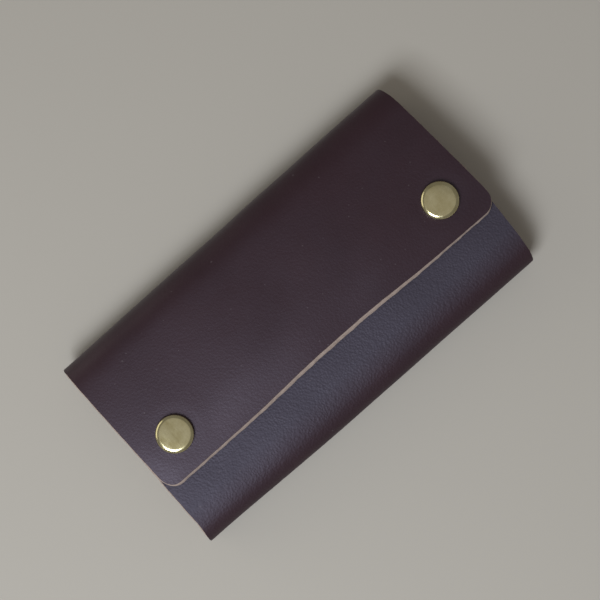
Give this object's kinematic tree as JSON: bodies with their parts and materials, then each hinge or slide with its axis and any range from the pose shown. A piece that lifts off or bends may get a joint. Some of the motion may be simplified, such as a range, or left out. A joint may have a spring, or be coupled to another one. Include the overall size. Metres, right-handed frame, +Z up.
{
  "type": "leather key organiser",
  "caption": "Trifold leather key case that snaps shut round a riveted rail of swivelling key hooks with sprung gates, open at both short ends.",
  "frame": {"origin": "middle of the footprint on the surface that the closed case lies on", "axes": "+X along the case towards the end with the key rail, +Y across it towards the outer flap's fold, +Z up through the snap caps"},
  "size_m": [0.1176, 0.0626, 0.02],
  "materials": {
    "leather": "smooth dark brown-burgundy grain with raw beige cut edges and a raw flesh side",
    "antique_brass": "brushed antique brass",
    "nickel": "nickel-plated steel"
  },
  "bodies": {
    "root": {"back_panel": "leather", "key_rail": "nickel", "rail_rivet_left": "antique_brass", "rail_rivet_right": "antique_brass", "rail_rivet_cap_left": "nickel", "rail_rivet_cap_right": "nickel"},
    "outer_fold_strip_1": {"outer_fold_strip_1": "leather"},
    "outer_fold_strip_2": {"outer_fold_strip_2": "leather"},
    "outer_fold_strip_3": {"outer_fold_strip_3": "leather"},
    "inner_fold_strip_1": {"inner_fold_strip_1": "leather"},
    "inner_fold_strip_2": {"inner_fold_strip_2": "leather"},
    "inner_fold_strip_3": {"inner_fold_strip_3": "leather"},
    "outer_flap": {"outer_flap": "leather", "snap_cap_rail_end": "antique_brass", "snap_socket_rail_end": "antique_brass", "snap_cap_key_end": "antique_brass", "snap_socket_key_end": "antique_brass"},
    "inner_flap": {"inner_flap": "leather", "snap_stud_rail_end": "antique_brass", "snap_post_rail_end": "antique_brass", "snap_stud_key_end": "antique_brass", "snap_post_key_end": "antique_brass"},
    "hook_1": {"hook_1": "nickel", "hook_gate_pin_1": "nickel"},
    "hook_gate_1": {"hook_gate_1": "nickel"},
    "hook_2": {"hook_2": "nickel", "hook_gate_pin_2": "nickel"},
    "hook_gate_2": {"hook_gate_2": "nickel"},
    "hook_3": {"hook_3": "nickel", "hook_gate_pin_3": "nickel"},
    "hook_gate_3": {"hook_gate_3": "nickel"},
    "hook_4": {"hook_4": "nickel", "hook_gate_pin_4": "nickel"},
    "hook_gate_4": {"hook_gate_4": "nickel"},
    "hook_5": {"hook_5": "nickel", "hook_gate_pin_5": "nickel"},
    "hook_gate_5": {"hook_gate_5": "nickel"},
    "hook_6": {"hook_6": "nickel", "hook_gate_pin_6": "nickel"},
    "hook_gate_6": {"hook_gate_6": "nickel"}
  },
  "joints": [
    {"name": "outer_fold_1", "type": "hinge", "parent": "root", "child": "outer_fold_strip_1", "pos_m": [0, 0.02612, 0.0006], "axis": [-1, 0, 0], "range_deg": [0, 44]},
    {"name": "outer_fold_2", "type": "hinge", "parent": "outer_fold_strip_1", "child": "outer_fold_strip_2", "pos_m": [0, 0.03057, 0.00486], "axis": [-1, 0, 0], "range_deg": [0, 44]},
    {"name": "outer_fold_3", "type": "hinge", "parent": "outer_fold_strip_2", "child": "outer_fold_strip_3", "pos_m": [0, 0.03083, 0.01101], "axis": [-1, 0, 0], "range_deg": [0, 44]},
    {"name": "outer_fold_4", "type": "hinge", "parent": "outer_fold_strip_3", "child": "outer_flap", "pos_m": [0, 0.02676, 0.01564], "axis": [-1, 0, 0], "range_deg": [0, 44]},
    {"name": "inner_fold_1", "type": "hinge", "parent": "root", "child": "inner_fold_strip_1", "pos_m": [0, -0.02736, 0.00045], "axis": [1, 0, 0], "range_deg": [0, 39.6]},
    {"name": "inner_fold_2", "type": "hinge", "parent": "inner_fold_strip_1", "child": "inner_fold_strip_2", "pos_m": [0, -0.03074, 0.00367], "axis": [1, 0, 0], "range_deg": [0, 39.6]},
    {"name": "inner_fold_3", "type": "hinge", "parent": "inner_fold_strip_2", "child": "inner_fold_strip_3", "pos_m": [0, -0.03095, 0.00833], "axis": [1, 0, 0], "range_deg": [0, 39.6]},
    {"name": "inner_fold_4", "type": "hinge", "parent": "inner_fold_strip_3", "child": "inner_flap", "pos_m": [0, -0.02789, 0.01185], "axis": [1, 0, 0], "range_deg": [0, 39.6]},
    {"name": "hook_swivel_1", "type": "hinge", "parent": "root", "child": "hook_1", "pos_m": [0.0437, -0.02, 0.0065], "axis": [1, 0, 0], "continuous": true},
    {"name": "gate_open_1", "type": "hinge", "parent": "hook_1", "child": "hook_gate_1", "pos_m": [0.0396, -0.02, 0.0082], "axis": [0, -1, 0], "range_deg": [0, 24], "stiffness_Nm_per_rad": 0.004},
    {"name": "hook_swivel_2", "type": "hinge", "parent": "root", "child": "hook_2", "pos_m": [0.0437, -0.012, 0.0065], "axis": [1, 0, 0], "continuous": true},
    {"name": "gate_open_2", "type": "hinge", "parent": "hook_2", "child": "hook_gate_2", "pos_m": [0.0396, -0.012, 0.0082], "axis": [0, -1, 0], "range_deg": [0, 24], "stiffness_Nm_per_rad": 0.004},
    {"name": "hook_swivel_3", "type": "hinge", "parent": "root", "child": "hook_3", "pos_m": [0.0437, -0.004, 0.0065], "axis": [1, 0, 0], "continuous": true},
    {"name": "gate_open_3", "type": "hinge", "parent": "hook_3", "child": "hook_gate_3", "pos_m": [0.0396, -0.004, 0.0082], "axis": [0, -1, 0], "range_deg": [0, 24], "stiffness_Nm_per_rad": 0.004},
    {"name": "hook_swivel_4", "type": "hinge", "parent": "root", "child": "hook_4", "pos_m": [0.0437, 0.004, 0.0065], "axis": [1, 0, 0], "continuous": true},
    {"name": "gate_open_4", "type": "hinge", "parent": "hook_4", "child": "hook_gate_4", "pos_m": [0.0396, 0.004, 0.0082], "axis": [0, -1, 0], "range_deg": [0, 24], "stiffness_Nm_per_rad": 0.004},
    {"name": "hook_swivel_5", "type": "hinge", "parent": "root", "child": "hook_5", "pos_m": [0.0437, 0.012, 0.0065], "axis": [1, 0, 0], "continuous": true},
    {"name": "gate_open_5", "type": "hinge", "parent": "hook_5", "child": "hook_gate_5", "pos_m": [0.0396, 0.012, 0.0082], "axis": [0, -1, 0], "range_deg": [0, 24], "stiffness_Nm_per_rad": 0.004},
    {"name": "hook_swivel_6", "type": "hinge", "parent": "root", "child": "hook_6", "pos_m": [0.0437, 0.02, 0.0065], "axis": [1, 0, 0], "continuous": true},
    {"name": "gate_open_6", "type": "hinge", "parent": "hook_6", "child": "hook_gate_6", "pos_m": [0.0396, 0.02, 0.0082], "axis": [0, -1, 0], "range_deg": [0, 24], "stiffness_Nm_per_rad": 0.004}
  ],
  "couplings": [
    {"joint": "outer_fold_2", "follows": "outer_fold_1", "ratio": 1},
    {"joint": "outer_fold_3", "follows": "outer_fold_1", "ratio": 1},
    {"joint": "outer_fold_4", "follows": "outer_fold_1", "ratio": 1},
    {"joint": "inner_fold_1", "follows": "outer_fold_1", "ratio": 0.9},
    {"joint": "inner_fold_2", "follows": "outer_fold_1", "ratio": 0.9},
    {"joint": "inner_fold_3", "follows": "outer_fold_1", "ratio": 0.9},
    {"joint": "inner_fold_4", "follows": "outer_fold_1", "ratio": 0.9}
  ]
}
